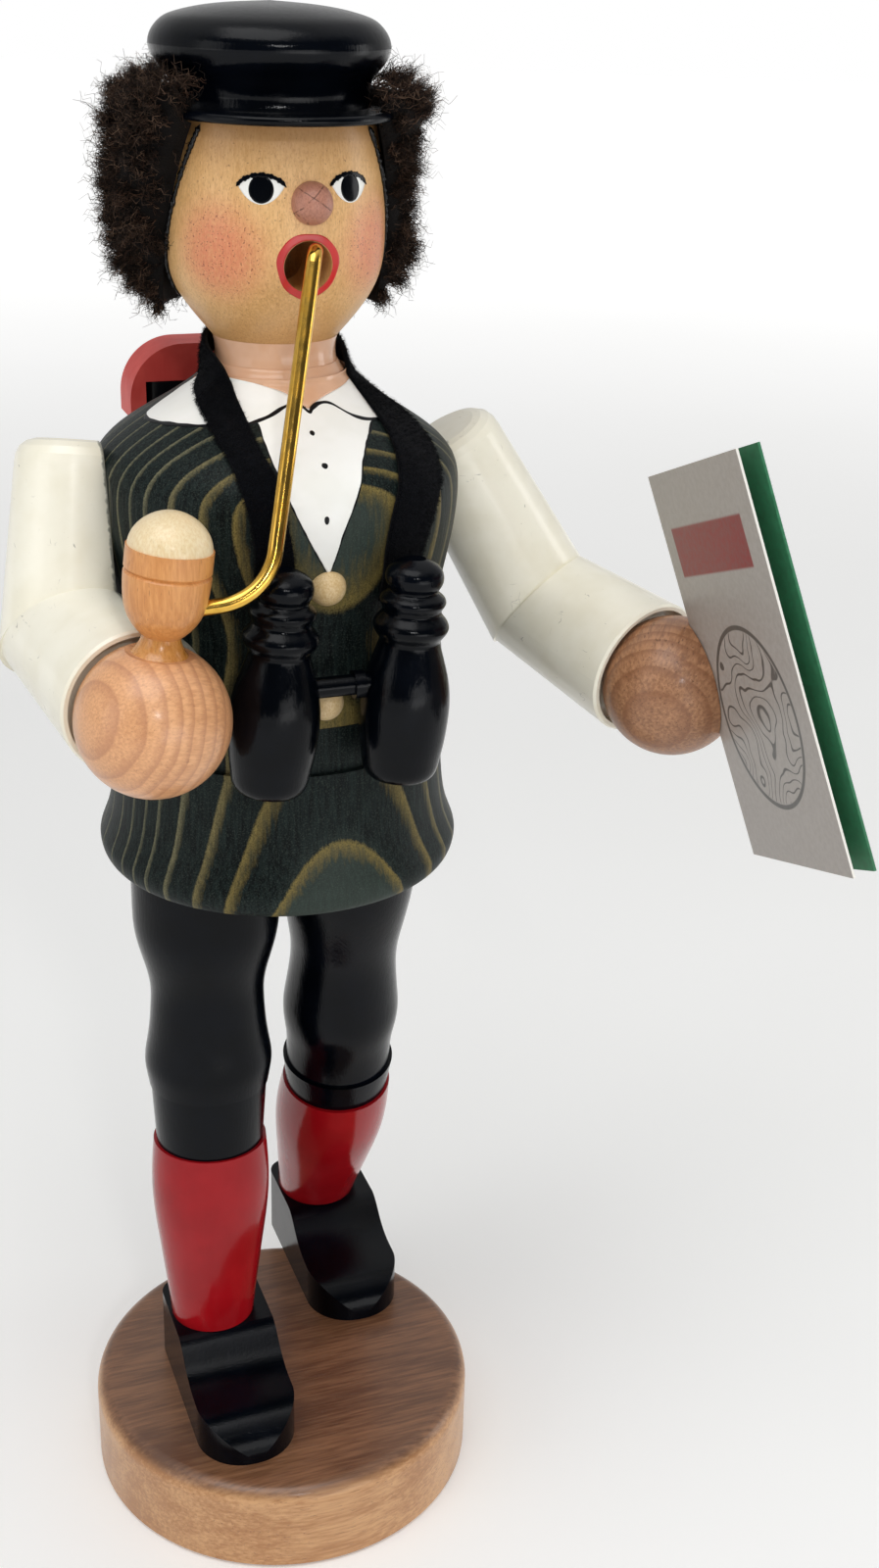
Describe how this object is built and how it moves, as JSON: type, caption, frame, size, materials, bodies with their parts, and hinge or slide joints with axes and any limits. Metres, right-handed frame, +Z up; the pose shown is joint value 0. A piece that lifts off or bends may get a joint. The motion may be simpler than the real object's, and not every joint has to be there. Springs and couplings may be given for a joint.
{
  "type": "incense smoker figure",
  "caption": "Turned wooden figure in a striding pose whose hollow upper half lifts off to take an incense cone, so that smoke leaves through its round mouth.",
  "frame": {"origin": "centre of the round base's underside", "axes": "+Z up along the figure, -Y towards the figure's front, +X towards the figure's left hand"},
  "size_m": [0.1518, 0.1647, 0.3488],
  "materials": {
    "beech_base": "satin dark beech stain",
    "black_lacquer": "gloss blue-black lacquer",
    "red_lacquer": "gloss deep red lacquer",
    "ivory_lacquer": "satin ivory lacquer",
    "vest_stain": "satin grey-green stain",
    "flesh_paint": "gloss flesh paint",
    "maple_head": "satin clear lacquer",
    "nose_stain": "satin rosy stain",
    "beech_hand": "satin clear lacquer",
    "honey_wood": "satin orange-tan lacquer",
    "pale_dome": "satin clear lacquer",
    "button_beech": "satin clear lacquer",
    "dowel_beech": "plain",
    "stem_brass": "polished",
    "tin_plate": "satin",
    "nail_steel": "satin",
    "brown_mohair": "fuzzy",
    "black_ribbon": "matte felt",
    "pack_red": "satin red paint",
    "pack_black": "satin black paint",
    "map_card": "printed card"
  },
  "bodies": {
    "lower": {"base_disc": "beech_base", "shoe_right": "black_lacquer", "shoe_left": "black_lacquer", "stocking_right": "red_lacquer", "stocking_left": "red_lacquer", "knee_cuff_right": "black_lacquer", "knee_cuff_left": "black_lacquer", "breeches_right": "black_lacquer", "breeches_left": "black_lacquer", "leg_dowels": "dowel_beech", "coat_skirt": "vest_stain", "incense_plate": "tin_plate", "plate_nails": "nail_steel"},
    "upper": {"vest_torso": "vest_stain", "neck_sleeve": "flesh_paint", "head": "maple_head", "hat_dowel": "dowel_beech", "nose": "nose_stain", "hat_visor": "black_lacquer", "hat_crown": "black_lacquer", "hair_right": "brown_mohair", "hair_left": "brown_mohair", "hair_back": "brown_mohair", "upper_arm_right": "ivory_lacquer", "upper_arm_left": "ivory_lacquer", "forearm_right": "ivory_lacquer", "forearm_left": "ivory_lacquer", "hand_right": "beech_hand", "hand_left": "beech_hand", "arm_dowels": "dowel_beech", "pipe_foot": "honey_wood", "pipe_bowl": "honey_wood", "pipe_dome": "pale_dome", "pipe_stem": "stem_brass", "vest_buttons": "button_beech", "rucksack_body": "pack_black", "rucksack_lid": "pack_red", "rucksack_pockets": "pack_black", "strap_neck": "black_ribbon"},
    "binoculars": {"binocular_right": "black_lacquer", "binocular_left": "black_lacquer", "binocular_bridge": "black_lacquer", "strap_right": "black_ribbon", "strap_left": "black_ribbon"},
    "map": {"folded_map": "map_card"}
  },
  "joints": [
    {"name": "upper_body_lift", "type": "slide", "parent": "lower", "child": "upper", "axis": [0, 0, 1], "range_m": [0, 0.075]},
    {"name": "binocular_swing", "type": "hinge", "parent": "upper", "child": "binoculars", "pos_m": [0, -0.008, 0.284], "axis": [-1, 0, 0], "range_deg": [0, 1]},
    {"name": "map_slide", "type": "slide", "parent": "upper", "child": "map", "axis": [-0.1308, -0.9266, 0.3525], "range_m": [0, 0.03]}
  ]
}
